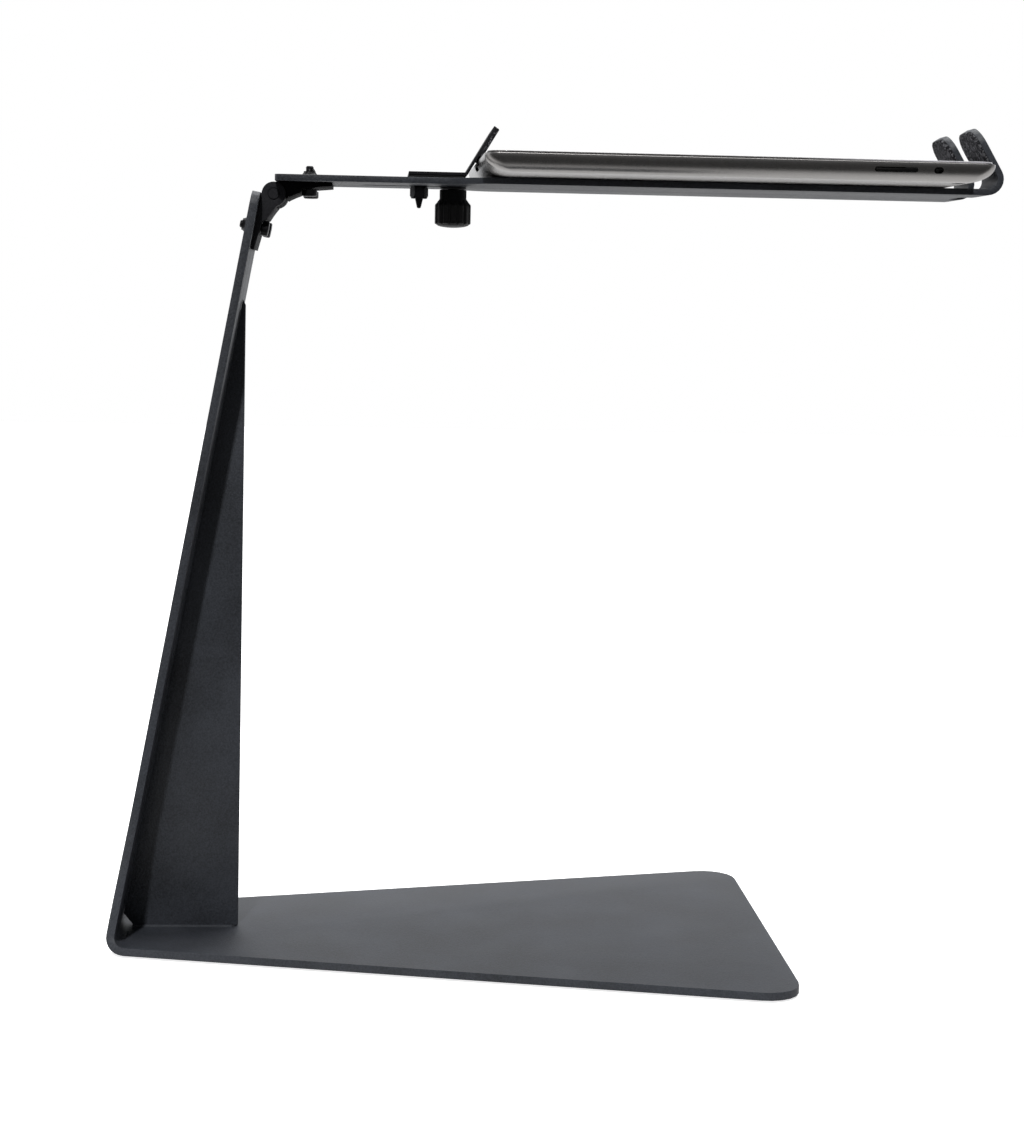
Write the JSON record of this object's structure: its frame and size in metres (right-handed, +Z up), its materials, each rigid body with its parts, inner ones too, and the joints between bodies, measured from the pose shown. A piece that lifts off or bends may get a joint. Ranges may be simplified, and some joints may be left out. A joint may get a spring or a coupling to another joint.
{
  "type": "video magnifier",
  "caption": "Desk magnifier stand: bent steel base and leaning upright, friction hinge, and an arm with a tray, hook fingers and sliding clip that hold a tablet.",
  "frame": {"origin": "middle of the overall box in X and Y, on the surface that the feet stand on", "axes": "+X from the upright towards the hooked end of the tray, +Y to the side away from the volume keys, +Z up"},
  "size_m": [0.4488, 0.2308, 0.4299],
  "materials": {
    "powder_coat": "fine textured dark grey powder coat",
    "hinge_black": "satin black die casting",
    "fastener_black": "black oxide",
    "pin_steel": "ground steel",
    "knob_plastic": "moulded black",
    "brass": "turned",
    "foam": "closed-cell foam, speckled dark grey",
    "rubber": "matt black",
    "tablet_metal": "bead-blasted anodised silver",
    "front_glass": "white glass front, gloss",
    "display": "dark gloss",
    "cell": "foil pouch",
    "board": "solder mask",
    "key_black": "satin black"
  },
  "bodies": {
    "stand": {"stand_plate": "powder_coat", "gusset_rib": "powder_coat", "foot_near_wide": "rubber", "foot_far_wide": "rubber", "foot_near_heel": "rubber", "foot_far_heel": "rubber", "hinge_lower_leaf": "hinge_black", "hinge_pin": "hinge_black", "hinge_washer_near": "pin_steel", "hinge_washer_far": "pin_steel", "lower_bolt_near": "fastener_black", "lower_bolt_far": "fastener_black", "lower_nut_near": "fastener_black", "lower_nut_far": "fastener_black"},
    "arm": {"arm_plate": "powder_coat", "hinge_upper_leaf": "hinge_black", "upper_bolt_near": "fastener_black", "upper_bolt_far": "fastener_black", "upper_nut_near": "fastener_black", "upper_nut_far": "fastener_black", "finger_foam_near": "foam", "finger_foam_far": "foam"},
    "clip": {"clip_bracket": "powder_coat", "clip_sole": "rubber", "clip_pad": "foam", "guide_bolt": "fastener_black", "guide_nut": "fastener_black", "clamp_stud": "fastener_black"},
    "washer": {"knob_washer": "fastener_black"},
    "knob": {"clamp_knob": "knob_plastic", "knob_insert": "brass"},
    "tablet": {"tablet_back_shell": "tablet_metal", "tablet_front_glass": "front_glass", "display_panel": "display", "battery_cell_near": "cell", "battery_cell_far": "cell", "logic_board": "board", "speaker": "key_black", "dock_connector": "pin_steel", "front_camera": "key_black", "headphone_jack": "pin_steel", "rear_camera": "key_black", "rear_camera_window": "display"},
    "home_key": {"home_button": "front_glass"},
    "volume_key": {"volume_rocker": "key_black"},
    "mute_key": {"mute_switch": "key_black"},
    "power_key": {"power_button": "key_black"}
  },
  "joints": [
    {"name": "arm_tilt", "type": "hinge", "parent": "stand", "child": "arm", "pos_m": [-0.14218, 0, 0.39], "axis": [0, -1, 0], "range_deg": [-35, 60]},
    {"name": "clip_slide", "type": "slide", "parent": "arm", "child": "clip", "axis": [-1, 0, 0], "range_m": [0, 0.022]},
    {"name": "knob_drop", "type": "slide", "parent": "clip", "child": "washer", "axis": [0, 0, -1], "range_m": [0, 0.0016]},
    {"name": "knob_turn", "type": "hinge", "parent": "washer", "child": "knob", "pos_m": [-0.05118, 0, 0.3902], "axis": [0, 0, -1], "range_deg": [0, 720]},
    {"name": "tablet_slide_out", "type": "slide", "parent": "arm", "child": "tablet", "axis": [0, -1, 0], "range_m": [0, 0.19]},
    {"name": "home_press", "type": "slide", "parent": "tablet", "child": "home_key", "axis": [0, 0, -1], "range_m": [0, 0.0005], "stiffness_N_per_m": 600},
    {"name": "power_press", "type": "slide", "parent": "tablet", "child": "power_key", "axis": [-1, 0, 0], "range_m": [0, 0.0005], "stiffness_N_per_m": 600},
    {"name": "volume_rock", "type": "hinge", "parent": "tablet", "child": "volume_key", "pos_m": [0.15742, -0.0924, 0.405], "axis": [0, 0, 1], "range_deg": [-1.5, 1.5], "stiffness_Nm_per_rad": 0.04},
    {"name": "mute_slide", "type": "slide", "parent": "tablet", "child": "mute_key", "axis": [1, 0, 0], "range_m": [0, 0.0012]}
  ],
  "couplings": [
    {"joint": "knob_drop", "follows": "knob_turn", "m_per_rad": 0.00012732}
  ]
}
